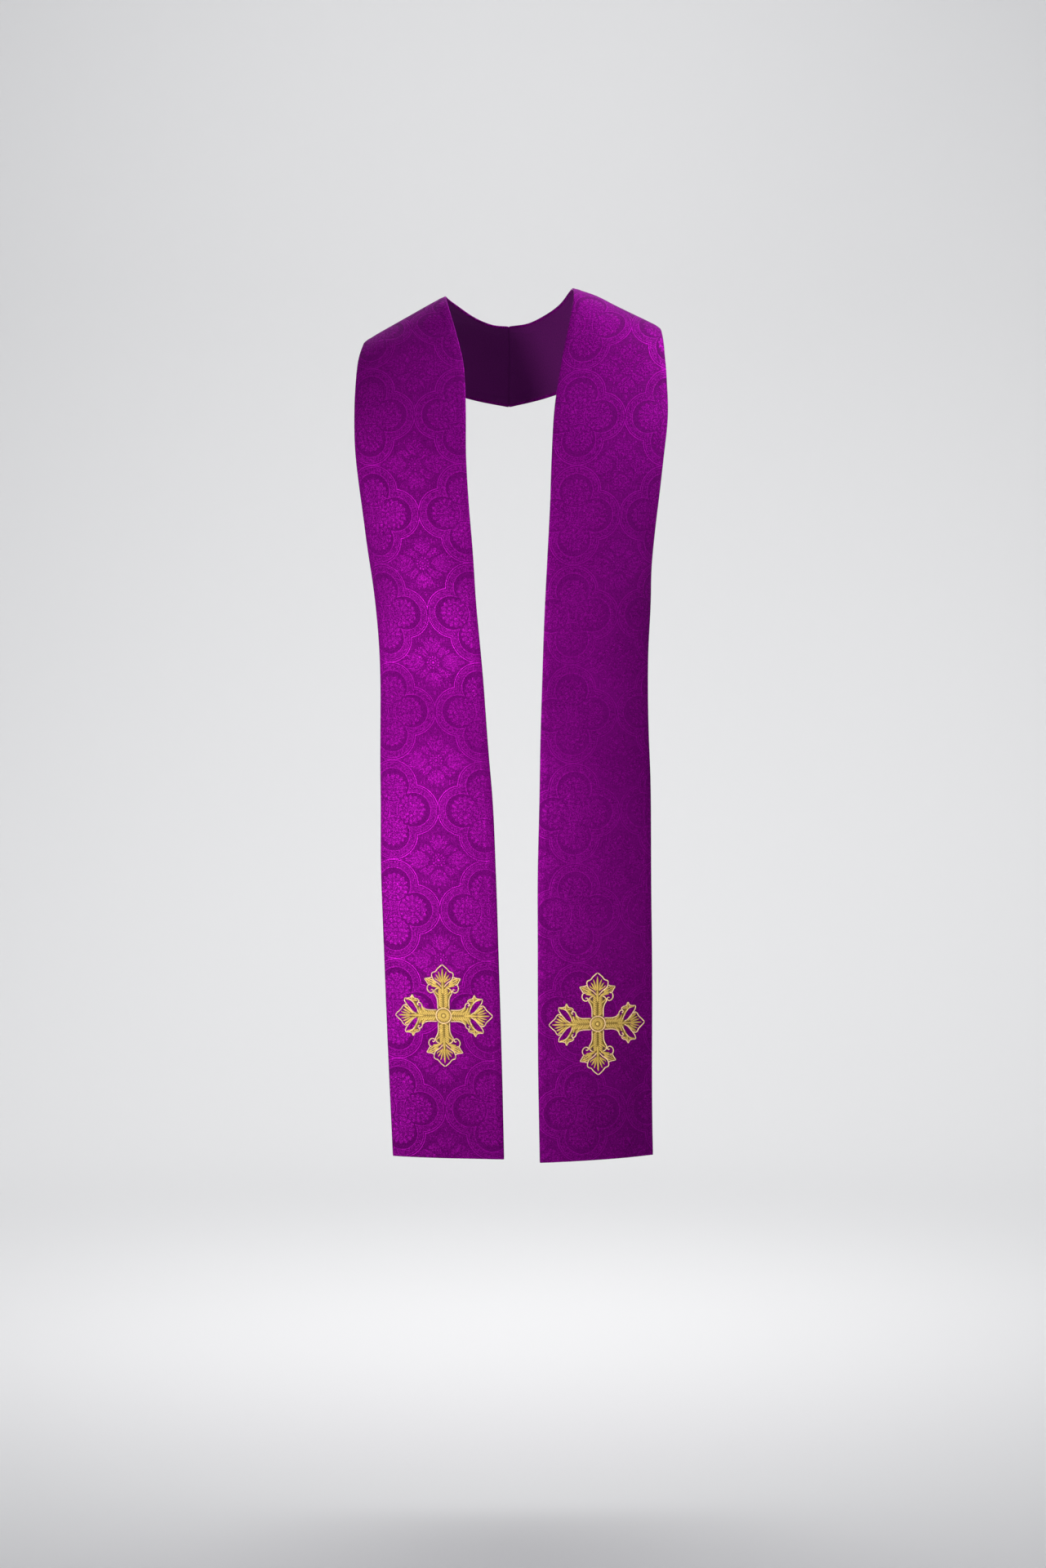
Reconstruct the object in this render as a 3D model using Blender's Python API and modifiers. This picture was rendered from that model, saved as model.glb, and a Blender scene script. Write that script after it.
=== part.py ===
"""A clerical stole as it is worn: two tapered halves seamed at the nape, each with an embroidered cross.

Metres, +Z up. The origin is the top of the nape seam, on the cloth's inner face. The wearer faces -Y,
so the wearer's left half lies at +X. Tables are in millimetres and degrees, and MM turns them into metres.
"""

import math
from collections import namedtuple

import bmesh
import bpy
import numpy as np
from mathutils import Matrix, Vector

MM = 0.001

# The cloth: brocade, interlining and backing sewn as one wall.
WALL = 2.0 * MM
SEAM_GAP = 0.35 * MM
CELLS_ACROSS = 10
EDGE_CROWDING = 0.09
SHOULDER_CELL = 10.0 * MM
HEM_CELL = 20.0 * MM

# Each long edge is turned under, so it rolls back a little.
ROLL_BACK = 1.8 * MM
ROLL_REACH = 9.0 * MM
SEAM_REACH = 40.0 * MM

# The general figure that carries the cloth: level sections are superellipses.
SQUARENESS = 2.1
SLOPE_STEP = 0.003
RUNG_POINTS = 17
Level = namedtuple("Level", "z left_width right_width half_depth centre_y")
FIGURE = [
    Level(57, 60, 44, 30, -68),
    Level(39, 79, 62, 38, -67),
    Level(27, 110.5, 81, 47, -66),
    Level(15, 134.5, 102, 54, -64.5),
    Level(3, 160.5, 124, 60.5, -61),
    Level(-8, 184.5, 144, 65, -59),
    Level(-20, 207, 166, 69, -57),
    Level(-34, 226, 190, 74, -56),
    Level(-57, 244, 222, 81, -53),
    Level(-90, 250, 243, 90, -51),
    Level(-140, 250, 250, 102, -49),
    Level(-210, 236, 236, 110, -48),
    Level(-330, 200, 200, 109, -47),
    Level(-450, 205, 205, 104, -46),
    Level(-570, 232, 232, 112, -46),
    Level(-750, 250, 250, 112, -46),
    Level(-1080, 260, 260, 104, -46),
]

# Cloth sections from the nape to the collar bone. Round is the angle round the neck: 0 in front,
# 90 on the shoulder's ridge and 180 at the nape.
Shoulder = namedtuple("Shoulder", "place inner_round inner_z outer_round outer_z")
# Cloth sections down the front, by the two edges' distances from the middle of the wearer.
Front = namedtuple("Front", "place inner_x inner_z outer_x outer_z")

LEFT_SHOULDER = [
    Shoulder("nape seam", 180, 0, 180, -98),
    Shoulder("beside the spine", 172, 4, 171, -88),
    Shoulder("shoulder blade", 162, 13, 162, -75),
    Shoulder("behind the neck", 147, 25, 152, -58),
    Shoulder("rise to the ridge", 112, 37.5, 139, -38),
    Shoulder("inner edge over the ridge", 74, 37, 126, -23),
    Shoulder("neck side", 47.6, 28, 113, -13),
    Shoulder("outer edge over the ridge", 33.2, 12, 94, -9),
    Shoulder("collar bone", 18.4, -26, 66.5, -20.5),
]
LEFT_FRONT = [
    Front("below the collar bone", 66, -57, 193.5, -42),
    Front("upper chest", 61, -87, 196, -77),
    Front("chest", 56.5, -121, 197.5, -117),
    Front("breast", 53, -181, 192, -178),
    Front("lower breast", 51, -241, 185, -239),
    Front("ribs", 48, -301, 178, -300),
    Front("waist", 45, -361, 174, -360),
    Front("sleeve height", 42, -450, 173.5, -449),
    Front("hand height", 39, -540, 174, -538),
    Front("below the hands", 38, -600, 175, -597),
    Front("thigh", 36, -690, 176, -686),
    Front("above the cross", 36, -780, 177, -778),
    Front("below the cross", 36.5, -930, 178, -926),
    Front("hem", 38.5, -1043, 180, -1036.5),
]
RIGHT_SHOULDER = [
    Shoulder("nape seam", 180, 0, 180, -98),
    Shoulder("beside the spine", 172, 2, 171, -90),
    Shoulder("shoulder blade", 162, 8, 162, -80),
    Shoulder("behind the neck", 147, 17, 152, -67),
    Shoulder("rise to the ridge", 112, 27.5, 138, -52),
    Shoulder("inner edge over the ridge", 74, 26.5, 124, -39.5),
    Shoulder("neck side", 50, 17, 111, -32),
    Shoulder("outer edge over the ridge", 32.5, 0, 92, -28),
    Shoulder("collar bone", 18.2, -33, 70, -36),
]
RIGHT_FRONT = [
    Front("below the collar bone", 55.5, -62, 187.5, -62),
    Front("upper chest", 53, -90, 189.5, -90),
    Front("chest", 52, -121, 190.5, -121),
    Front("breast", 51.5, -181, 188.5, -180),
    Front("lower breast", 48, -241, 181, -240),
    Front("ribs", 43, -301, 173, -300),
    Front("waist", 39, -361, 165, -360),
    Front("sleeve height", 31, -450, 160, -449),
    Front("hand height", 24, -540, 158, -539),
    Front("below the hands", 19, -600, 157, -599),
    Front("thigh", 15, -690, 156, -689),
    Front("above the cross", 12, -780, 153, -779),
    Front("below the cross", 7.5, -930, 147, -928),
    Front("hem", 5, -1039, 142, -1036),
]

# Soft folds and dents. Drop is measured down the cloth's middle from the chest section, across from the
# inner edge (0) to the outer edge (1), and height stands out of the cloth, or into it where negative.
Fold = namedtuple("Fold", "drop across length breadth height slant")
LEFT_FOLDS = [
    Fold(235, 0.80, 70, 0.50, 5.0, 0.5),
    Fold(330, 0.35, 85, 0.60, -6.0, 0.0),
    Fold(470, 0.55, 90, 0.70, 4.0, 0.3),
    Fold(900, 0.95, 160, 0.25, -4.5, 0.0),
    Fold(850, 0.40, 120, 0.45, 2.5, -0.2),
]
RIGHT_FOLDS = [
    Fold(215, 0.35, 75, 0.55, 5.0, -0.4),
    Fold(315, 0.60, 80, 0.60, -6.0, 0.0),
    Fold(430, 0.25, 75, 0.45, 4.5, 0.5),
    Fold(560, 0.75, 120, 0.45, 3.0, 0.0),
    Fold(905, 0.20, 140, 0.40, -3.0, 0.0),
]

# The crosses: centre up from the hem and out from the inner edge, along the cloth.
CROSS_UP = {"left": 167.0 * MM, "right": 175.0 * MM}
CROSS_IN = {"left": 73.5 * MM, "right": 69.5 * MM}
CROSS_THICK = 1.2 * MM
CROSS_GAP = 0.35 * MM
CROSS_CELL = 9.0 * MM
# The flat outline is drawn in millimetres: the arms' lengths, half the width of a stem where two arms meet,
# and half of an arm from there to its tip, where along is a share of the arm and out is from its middle.
CROSS_ARM = {"upright": 62.5, "level": 60.0}
STEM = 7.0
Turn = namedtuple("Turn", "along out")
UPRIGHT_ARM = [
    Turn(0.30, 7.2),
    Turn(0.42, 9.0),
    Turn(0.47, 14.0),
    Turn(0.50, 17.6),
    Turn(0.57, 17.8),
    Turn(0.63, 15.0),
    Turn(0.73, 21.2),
    Turn(0.76, 14.5),
    Turn(0.79, 12.0),
    Turn(0.86, 10.2),
    Turn(0.93, 4.4),
]
LEVEL_ARM = [
    Turn(0.34, 7.4),
    Turn(0.44, 10.5),
    Turn(0.50, 16.5),
    Turn(0.58, 19.5),
    Turn(0.65, 24.2),
    Turn(0.71, 20.0),
    Turn(0.81, 19.6),
    Turn(0.79, 12.2),
    Turn(0.86, 9.6),
    Turn(0.93, 4.2),
]

PURPLE = (0.21, 0.004, 0.235, 1.0)
GOLD = (0.62, 0.42, 0.10, 1.0)


def clear_scene():
    for thing in list(bpy.data.objects):
        bpy.data.objects.remove(thing)


def new_collection(name):
    collection = bpy.data.collections.new(name)
    bpy.context.scene.collection.children.link(collection)
    return collection


def cloth_material(name, colour, roughness, metallic):
    material = bpy.data.materials.new(name)
    material.use_nodes = True
    shader = material.node_tree.nodes["Principled BSDF"]
    shader.inputs["Base Color"].default_value = colour
    shader.inputs["Roughness"].default_value = roughness
    shader.inputs["Metallic"].default_value = metallic
    return material


def smooth_curve(places, values):
    """A smooth function through points, which may be numbers or vectors, with places in rising order."""
    places, values = np.array(places), np.array(values)
    gaps = np.diff(places).reshape(-1, *[1] * (values.ndim - 1))
    slopes = np.diff(values, axis=0) / gaps
    before, after = gaps[:-1], gaps[1:]
    inner_slopes = (slopes[:-1] * after + slopes[1:] * before) / (before + after)
    tangents = np.concatenate([slopes[:1], inner_slopes, slopes[-1:]])

    def curve(place):
        index = np.clip(np.searchsorted(places, place, side="right") - 1, 0, len(gaps) - 1)
        gap = gaps[index]
        t = (place - places[index]).reshape(gap.shape) / gap
        return (
            values[index] * (1 + 2 * t) * (1 - t) ** 2
            + gap * tangents[index] * t * (1 - t) ** 2
            + values[index + 1] * t * t * (3 - 2 * t)
            + gap * tangents[index + 1] * t * t * (t - 1)
        )

    return curve


def unit(vectors):
    return vectors / np.linalg.norm(vectors, axis=-1, keepdims=True)


class Figure:
    """One side of the general figure: 1 is the wearer's left, -1 the right."""

    def __init__(self, side):
        self.side = side
        rows = sorted(FIGURE, key=lambda row: row.z)
        heights = [row.z * MM for row in rows]
        width_column = "left_width" if side > 0 else "right_width"
        self.half_width, self.half_depth, self.centre_y = (
            smooth_curve(heights, [getattr(row, column) * MM for row in rows])
            for column in (width_column, "half_depth", "centre_y")
        )

    def point(self, angle, z):
        """The surface at an angle round the neck, in radians from the front, and a height."""
        sine, cosine = np.abs(np.sin(angle)), np.abs(np.cos(angle))
        x = self.side * self.half_width(z) * sine ** (2 / SQUARENESS)
        depth = self.half_depth(z) * cosine ** (2 / SQUARENESS)
        return np.stack([x, self.centre_y(z) - np.sign(np.cos(angle)) * depth, z], axis=-1)

    def front_angle(self, x, z):
        return math.asin((x / self.half_width(z)) ** (SQUARENESS / 2))

    def beyond(self, points):
        """0 on the surface, more outside it and less inside."""
        x, y, z = np.moveaxis(points, -1, 0)
        over = np.abs(x) / self.half_width(z)
        deep = np.abs(y - self.centre_y(z)) / self.half_depth(z)
        return over**SQUARENESS + deep**SQUARENESS - 1

    def onto(self, points, steps=8, reach=0.0005):
        """Move points straight out or in until they lie on the surface."""
        for _ in range(steps):
            slopes = [
                (self.beyond(points + reach * axis) - self.beyond(points - reach * axis)) / (2 * reach)
                for axis in np.eye(3)
            ]
            gradient = np.stack(slopes, axis=-1)
            share = self.beyond(points) / (gradient**2).sum(axis=-1)
            points = points - share[..., None] * gradient
        return points


class Half:
    """One half of the stole: any place on its cloth, by the distance down it and the share across it."""

    def __init__(self, side, shoulder_rows, front_rows, folds):
        self.side = side
        self.folds = folds
        self.figure = Figure(side)
        edges = [
            (math.radians(row.inner_round), row.inner_z * MM, math.radians(row.outer_round), row.outer_z * MM)
            for row in shoulder_rows
        ]
        for row in front_rows:
            inner_z, outer_z = row.inner_z * MM, row.outer_z * MM
            inner_angle = self.figure.front_angle(row.inner_x * MM, inner_z)
            outer_angle = self.figure.front_angle(row.outer_x * MM, outer_z)
            edges.append((inner_angle, inner_z, outer_angle, outer_z))
        edges = np.array(edges)
        inner, outer = self.figure.point(*edges.T[:2]), self.figure.point(*edges.T[2:])
        middles = self.figure.onto((inner + outer) / 2)
        steps = np.linalg.norm(np.diff(middles, axis=0), axis=-1)
        down = np.concatenate([[0.0], np.cumsum(steps)])
        self.length = down[-1]
        self.chest = down[[row.place for row in shoulder_rows + front_rows].index("chest")]
        self.inner_edge, self.outer_edge = smooth_curve(down, inner), smooth_curve(down, outer)
        shares = np.linspace(0, 1, RUNG_POINTS)
        rungs = self.bare_point(*np.meshgrid(down, shares, indexing="ij"))
        self.width = smooth_curve(down, np.linalg.norm(np.diff(rungs, axis=1), axis=-1).sum(axis=1))

    def bare_point(self, down, across):
        """The figure's surface, along the straight way from the cloth's inner edge to its outer edge."""
        inner = self.inner_edge(down)
        return self.figure.onto(inner + (self.outer_edge(down) - inner) * across[..., None])

    def facing(self, place, down, across):
        """The way out of a surface, away from the wearer, for a function that gives its points."""
        step = SLOPE_STEP * self.length
        along = place(down + step, across) - place(down - step, across)
        over = place(down, across + SLOPE_STEP) - place(down, across - SLOPE_STEP)
        return unit(np.cross(along, over) * self.side)

    def lift(self, down, across):
        """How far the cloth stands off the figure: its folds, less the roll at its long edges."""
        height = np.zeros_like(down)
        for fold in self.folds:
            along = (down - self.chest) / MM - fold.drop - fold.slant * fold.length * (across - fold.across)
            over = (across - fold.across) / fold.breadth
            height += fold.height * MM * np.exp(-2 * (along / fold.length) ** 2 - 2 * over**2)
        edge = np.minimum(across, 1 - across) * self.width(down)
        seam_share = np.clip(down / SEAM_REACH, 0, 1)
        return height - ROLL_BACK * seam_share * np.exp(-edge / ROLL_REACH)

    def point(self, down, across):
        """The middle of the cloth's wall."""
        outward = self.facing(self.bare_point, down, across)
        return self.bare_point(down, across) + outward * self.lift(down, across)[..., None]

    def above(self, down, across, clear):
        """Places clear of the middle of the cloth's wall, away from the wearer."""
        outward = self.facing(self.point, down, across)
        return self.point(down, across) + outward * clear


def grid_rows(half):
    """Places down the cloth, closer together over the shoulder than on the straight panel."""
    rows = [0.0]
    while rows[-1] < half.length:
        share = min(1.0, rows[-1] / half.chest)
        rows.append(rows[-1] + SHOULDER_CELL + (HEM_CELL - SHOULDER_CELL) * share**3)
    return [row * half.length / rows[-1] for row in rows]


def across_shares():
    """Shares across the cloth, closer together towards the edges, where it rolls back."""
    steps = [index / CELLS_ACROSS for index in range(CELLS_ACROSS + 1)]
    return [share - EDGE_CROWDING * math.sin(2 * math.pi * share) for share in steps]


def build_half(name, half, material, collection):
    rows, shares = grid_rows(half), across_shares()
    mesh = bpy.data.meshes.new(name)
    cage = bmesh.new()
    bmesh.ops.create_grid(cage, x_segments=len(shares) - 1, y_segments=len(rows) - 1, size=1.0)
    column = [round((vert.co.x + 1) / 2 * (len(shares) - 1)) for vert in cage.verts]
    row = [round((1 - vert.co.y) / 2 * (len(rows) - 1)) for vert in cage.verts]
    places = half.point(np.array(rows)[row], np.array(shares)[column])
    for vert, place, level in zip(cage.verts, places, row):
        vert.co = place
        if level == 0:
            vert.co.x = half.side * SEAM_GAP / 2
    if half.side < 0:
        bmesh.ops.reverse_faces(cage, faces=cage.faces)
    cage.to_mesh(mesh)
    cage.free()
    mesh.materials.append(material)
    mesh.shade_smooth()
    thing = bpy.data.objects.new(name, mesh)
    collection.objects.link(thing)
    wall = thing.modifiers.new("wall", "SOLIDIFY")
    wall.thickness = WALL
    wall.offset = 0.0
    wall.use_even_offset = True
    return thing


def arm_outline(turns, length):
    """Half of an arm from its root to its tip, as flat points in millimetres along and out from its middle."""
    points = [(STEM, STEM)]
    points += [(turn.along * length, turn.out) for turn in turns]
    points.append((length, 0.0))
    return points


def cross_outline():
    """The whole outline, anticlockwise, in millimetres, with Y up the cloth."""
    outline = []
    arms = [(LEVEL_ARM, "level"), (UPRIGHT_ARM, "upright")] * 2
    for quarter, (turns, kind) in enumerate(arms):
        half = arm_outline(turns, CROSS_ARM[kind])
        below = [(along, -out) for along, out in half]
        whole = below + half[-2:0:-1]
        turn = Matrix.Rotation(quarter * math.pi / 2, 2)
        outline += [turn @ Vector(point) for point in whole]
    return outline


def build_cross(name, half, up, inward, material, collection):
    """A flat plate of the cross's outline, cut into cells, laid on the cloth's outer face and thickened."""
    curve = bpy.data.curves.new(name + "_outline", "CURVE")
    curve.dimensions = "2D"
    curve.fill_mode = "BOTH"
    outline = cross_outline()
    spline = curve.splines.new("POLY")
    spline.points.add(len(outline) - 1)
    for point, place in zip(spline.points, outline):
        point.co = (place.x * MM, place.y * MM, 0.0, 1.0)
    spline.use_cyclic_u = True
    drawn = bpy.data.objects.new(name + "_outline", curve)
    collection.objects.link(drawn)
    bpy.context.view_layer.update()
    graph = bpy.context.evaluated_depsgraph_get()
    mesh = bpy.data.meshes.new_from_object(drawn.evaluated_get(graph))
    mesh.name = name
    bpy.data.objects.remove(drawn)

    plate = bmesh.new()
    plate.from_mesh(mesh)
    bmesh.ops.remove_doubles(plate, verts=plate.verts, dist=0.01 * MM)
    reach = math.ceil(max(CROSS_ARM.values()) * MM / CROSS_CELL)
    for axis in (Vector((1, 0, 0)), Vector((0, 1, 0))):
        for step in range(-reach, reach + 1):
            everything = plate.verts[:] + plate.edges[:] + plate.faces[:]
            bmesh.ops.bisect_plane(
                plate, geom=everything, dist=0.02 * MM, plane_co=axis * step * CROSS_CELL, plane_no=axis
            )
    flat = np.array([vert.co[:] for vert in plate.verts])
    down = half.length - up - flat[:, 1]
    across = (inward + half.side * flat[:, 0]) / half.width(down)
    for vert, place in zip(plate.verts, half.above(down, across, WALL / 2 + CROSS_GAP)):
        vert.co = place
    plate.normal_update()
    outward = sum((face.normal * face.calc_area() for face in plate.faces), Vector())
    if outward.y > 0:
        bmesh.ops.reverse_faces(plate, faces=plate.faces)
    plate.to_mesh(mesh)
    plate.free()
    mesh.materials.clear()
    mesh.materials.append(material)
    thing = bpy.data.objects.new(name, mesh)
    collection.objects.link(thing)
    depth = thing.modifiers.new("thread", "SOLIDIFY")
    depth.thickness = CROSS_THICK
    depth.offset = 1.0
    return thing


def main():
    clear_scene()
    stole = new_collection("stole")
    brocade = cloth_material("purple_brocade", PURPLE, 0.45, 0.0)
    gold = cloth_material("gold_thread", GOLD, 0.4, 0.35)
    halves = {
        "left": Half(1, LEFT_SHOULDER, LEFT_FRONT, LEFT_FOLDS),
        "right": Half(-1, RIGHT_SHOULDER, RIGHT_FRONT, RIGHT_FOLDS),
    }
    for name, half in halves.items():
        build_half(name + "_half", half, brocade, stole)
        build_cross(name + "_cross", half, CROSS_UP[name], CROSS_IN[name], gold, stole)


main()
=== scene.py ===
"""The looks of a clerical stole as it is worn: two brocade halves and two embroidered crosses.

Metres, +Z up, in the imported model's frame. The front faces -Y. Left and right are named as they are worn, so
the left half lies at +X.
"""

import math
from collections import namedtuple

import bmesh
import bpy
import numpy as np
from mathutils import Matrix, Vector


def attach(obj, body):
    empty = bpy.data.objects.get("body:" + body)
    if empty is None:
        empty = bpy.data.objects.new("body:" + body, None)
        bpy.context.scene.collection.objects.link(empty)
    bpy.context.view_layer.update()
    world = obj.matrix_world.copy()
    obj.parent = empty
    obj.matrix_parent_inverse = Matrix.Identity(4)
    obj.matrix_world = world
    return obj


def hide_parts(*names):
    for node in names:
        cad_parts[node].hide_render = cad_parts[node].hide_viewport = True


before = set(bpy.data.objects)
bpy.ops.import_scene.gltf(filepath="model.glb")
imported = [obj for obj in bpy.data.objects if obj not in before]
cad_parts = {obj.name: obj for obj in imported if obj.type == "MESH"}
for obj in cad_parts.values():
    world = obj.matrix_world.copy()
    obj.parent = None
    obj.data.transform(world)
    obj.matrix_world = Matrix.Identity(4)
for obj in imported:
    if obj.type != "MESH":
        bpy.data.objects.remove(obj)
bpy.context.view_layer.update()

# The studio: a plain pale floor that sweeps up behind the stole, soft boxes round it, and a level camera
# four metres in front, a little below the middle of the stole's length.
FLOOR_Z = -1.44
FLOOR_FRONT, FLOOR_BACK, FLOOR_SIDE, WALL_TOP = -16.0, 3.6, 16.0, 7.0
SWEEP_RADIUS, SWEEP_STEPS = 2.4, 24
FLOOR_COLOUR, FLOOR_ROUGHNESS = (0.86, 0.855, 0.85, 1.0), 0.9
CAMERA_PLACE = (0.018, -4.14, -0.580)
LENS, SENSOR = 75.0, 36.0
AIR_COLOUR, AIR_STRENGTH = (0.9, 0.93, 1.0, 1.0), 0.32
WARM, PLAIN = (1.0, 0.99, 0.97), (1.0, 1.0, 1.0)
# A lamp's size is in metres, and its spread in degrees.
Lamp = namedtuple("Lamp", "name place aim size watts colour spread")
LAMPS = [
    Lamp("low key", (-1.85, -1.85, -0.95), (0.03, -0.15, -0.6), 0.8, 1.35, WARM, 45),
    Lamp("front key", (-1.3, -2.3, -0.8), (-0.10, -0.15, -0.56), 0.6, 2.6, WARM, 31),
    Lamp("shoulder", (1.5, -0.35, 0.95), (0.14, -0.1, 0.05), 0.5, 1.35, PLAIN, 20),
    Lamp("backdrop", (0, 2.2, 3.4), (0, 4.6, -0.6), 4.0, 88, PLAIN, 120),
    Lamp("floor", (0, 1.6, 1.4), (0, 0.5, -1.44), 2.0, 9, PLAIN, 70),
    Lamp("back", (-0.9, 2.8, -0.1), (0, 0, -0.42), 1.2, 6, PLAIN, 46),
    Lamp("floor in front", (0, -7.5, 4.5), (0, -8.5, -1.44), 4.0, 40, PLAIN, 115),
]


def build_floor():
    """One strip from in front of the camera, round the sweep and up the wall behind."""
    profile = [(FLOOR_FRONT, FLOOR_Z), (FLOOR_BACK, FLOOR_Z)]
    for step in range(1, SWEEP_STEPS + 1):
        angle = math.pi / 2 * step / SWEEP_STEPS
        back, up = SWEEP_RADIUS * math.sin(angle), SWEEP_RADIUS * (1 - math.cos(angle))
        profile.append((FLOOR_BACK + back, FLOOR_Z + up))
    profile.append((FLOOR_BACK + SWEEP_RADIUS, WALL_TOP))
    points = [(side * FLOOR_SIDE, y, z) for y, z in profile for side in (-1, 1)]
    faces = [(row, row + 1, row + 3, row + 2) for row in range(0, len(points) - 2, 2)]
    mesh = bpy.data.meshes.new("floor")
    mesh.from_pydata(points, [], faces)
    mesh.shade_smooth()
    floor = bpy.data.objects.new("floor", mesh)
    bpy.context.scene.collection.objects.link(floor)
    paint = bpy.data.materials.new("pale_paint")
    paint.use_nodes = True
    shader = paint.node_tree.nodes["Principled BSDF"]
    shader.inputs["Base Color"].default_value = FLOOR_COLOUR
    shader.inputs["Roughness"].default_value = FLOOR_ROUGHNESS
    mesh.materials.append(paint)


def hang_lamp(lamp):
    """A square soft box at its place, turned to face its aim."""
    box = bpy.data.lights.new(lamp.name, "AREA")
    box.shape = "SQUARE"
    box.size = lamp.size
    box.energy = lamp.watts
    box.color = lamp.colour
    box.spread = math.radians(lamp.spread)
    light = bpy.data.objects.new(lamp.name, box)
    light.visible_camera = False
    light.location = lamp.place
    light.rotation_euler = (Vector(lamp.aim) - Vector(lamp.place)).to_track_quat("-Z", "Y").to_euler()
    bpy.context.scene.collection.objects.link(light)


def build_camera():
    """A level camera that faces +Y."""
    lens = bpy.data.cameras.new("camera")
    lens.lens = LENS
    lens.sensor_width = SENSOR
    camera = bpy.data.objects.new("camera", lens)
    camera.location = CAMERA_PLACE
    camera.rotation_euler = (math.pi / 2, 0, 0)
    bpy.context.scene.collection.objects.link(camera)
    bpy.context.scene.camera = camera


def fill_air():
    """An even, faintly blue light from all round."""
    world = bpy.data.worlds.new("studio")
    bpy.context.scene.world = world
    world.use_nodes = True
    background = world.node_tree.nodes["Background"]
    background.inputs["Color"].default_value = AIR_COLOUR
    background.inputs["Strength"].default_value = AIR_STRENGTH


build_floor()
build_camera()
for lamp in LAMPS:
    hang_lamp(lamp)
fill_air()
bpy.context.scene.view_settings.view_transform = "Standard"

# The two halves: each is purple silk brocade over interlining, with both long edges turned under by a narrow
# allowance that shows as a faint ridge. They lie on a general figure, from their seam at the nape over the
# shoulder and down the front, and their rolled edges, hems and seamed ends have round folds.
MM = 0.001
WALL = 2.0 * MM
TURNED_UNDER, ALLOWANCE_STEP, ALLOWANCE_SOFTNESS = 11.0 * MM, 0.32 * MM, 0.9 * MM
BACKING_INSET = 2.5 * MM
SEAM_GAP = 0.35 * MM
ROLL_BACK, ROLL_REACH, SEAM_REACH = 1.8 * MM, 9.0 * MM, 40.0 * MM
# The rows down the cloth and the columns across it, closer together near the edges.
ROW_STEP = 3.0 * MM
COLUMNS, EDGE_CROWDING = 76, 0.1
FOLD_STEPS, END_STEPS = 6, 3
INSIDE_LAST = 0.001
# Points of a piece that lie closer together than this become one.
CLOTH_JOIN, STITCH_JOIN = 0.01 * MM, 0.001 * MM
# Where a medallion's middle lies on each half, from the middle of the hem: outwards and up.
LEFT_MEDALLION = (-19.5 * MM, 303.6 * MM)
RIGHT_MEDALLION = (55.0 * MM, 304.0 * MM)

# The figure's level sections, each a superellipse, in millimetres.
SQUARENESS = 2.1
Level = namedtuple("Level", "z left_width right_width half_depth centre_y")
FIGURE = [
    Level(57, 60, 44, 30, -68),
    Level(39, 79, 62, 38, -67),
    Level(27, 110.5, 81, 47, -66),
    Level(15, 134.5, 102, 54, -64.5),
    Level(3, 160.5, 124, 60.5, -61),
    Level(-8, 184.5, 144, 65, -59),
    Level(-20, 207, 166, 69, -57),
    Level(-34, 226, 190, 74, -56),
    Level(-57, 244, 222, 81, -53),
    Level(-90, 250, 243, 90, -51),
    Level(-140, 250, 250, 102, -49),
    Level(-210, 236, 236, 110, -48),
    Level(-330, 200, 200, 109, -47),
    Level(-450, 205, 205, 104, -46),
    Level(-570, 232, 232, 112, -46),
    Level(-750, 250, 250, 112, -46),
    Level(-1080, 260, 260, 104, -46),
]
# Round is the angle round the neck: 0 in front, 90 on the shoulder's ridge and 180 at the nape.
Shoulder = namedtuple("Shoulder", "place inner_round inner_z outer_round outer_z")
Front = namedtuple("Front", "place inner_x inner_z outer_x outer_z")
LEFT_SHOULDER = [
    Shoulder("nape seam", 180, 0, 180, -98),
    Shoulder("beside the spine", 172, 4, 171, -88),
    Shoulder("shoulder blade", 162, 13, 162, -75),
    Shoulder("behind the neck", 147, 25, 152, -58),
    Shoulder("rise to the ridge", 112, 37.5, 139, -38),
    Shoulder("inner edge over the ridge", 74, 37, 126, -23),
    Shoulder("neck side", 47.6, 28, 113, -13),
    Shoulder("outer edge over the ridge", 33.2, 12, 94, -9),
    Shoulder("collar bone", 18.4, -26, 66.5, -20.5),
]
LEFT_FRONT = [
    Front("below the collar bone", 66, -57, 193.5, -42),
    Front("upper chest", 61, -87, 196, -77),
    Front("chest", 56.5, -121, 197.5, -117),
    Front("breast", 53, -181, 192, -178),
    Front("lower breast", 51, -241, 185, -239),
    Front("ribs", 48, -301, 178, -300),
    Front("waist", 45, -361, 174, -360),
    Front("hip", 42, -450, 173.5, -449),
    Front("below the hip", 39, -540, 174, -538),
    Front("upper thigh", 38, -600, 175, -597),
    Front("thigh", 36, -690, 176, -686),
    Front("above the cross", 36, -780, 177, -778),
    Front("below the cross", 36.5, -930, 178, -926),
    Front("hem", 38.5, -1043, 180, -1036.5),
]
RIGHT_SHOULDER = [
    Shoulder("nape seam", 180, 0, 180, -98),
    Shoulder("beside the spine", 172, 2, 171, -90),
    Shoulder("shoulder blade", 162, 8, 162, -80),
    Shoulder("behind the neck", 147, 17, 152, -67),
    Shoulder("rise to the ridge", 112, 27.5, 138, -52),
    Shoulder("inner edge over the ridge", 74, 26.5, 124, -39.5),
    Shoulder("neck side", 50, 17, 111, -32),
    Shoulder("outer edge over the ridge", 32.5, 0, 92, -28),
    Shoulder("collar bone", 18.2, -33, 70, -36),
]
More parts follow.
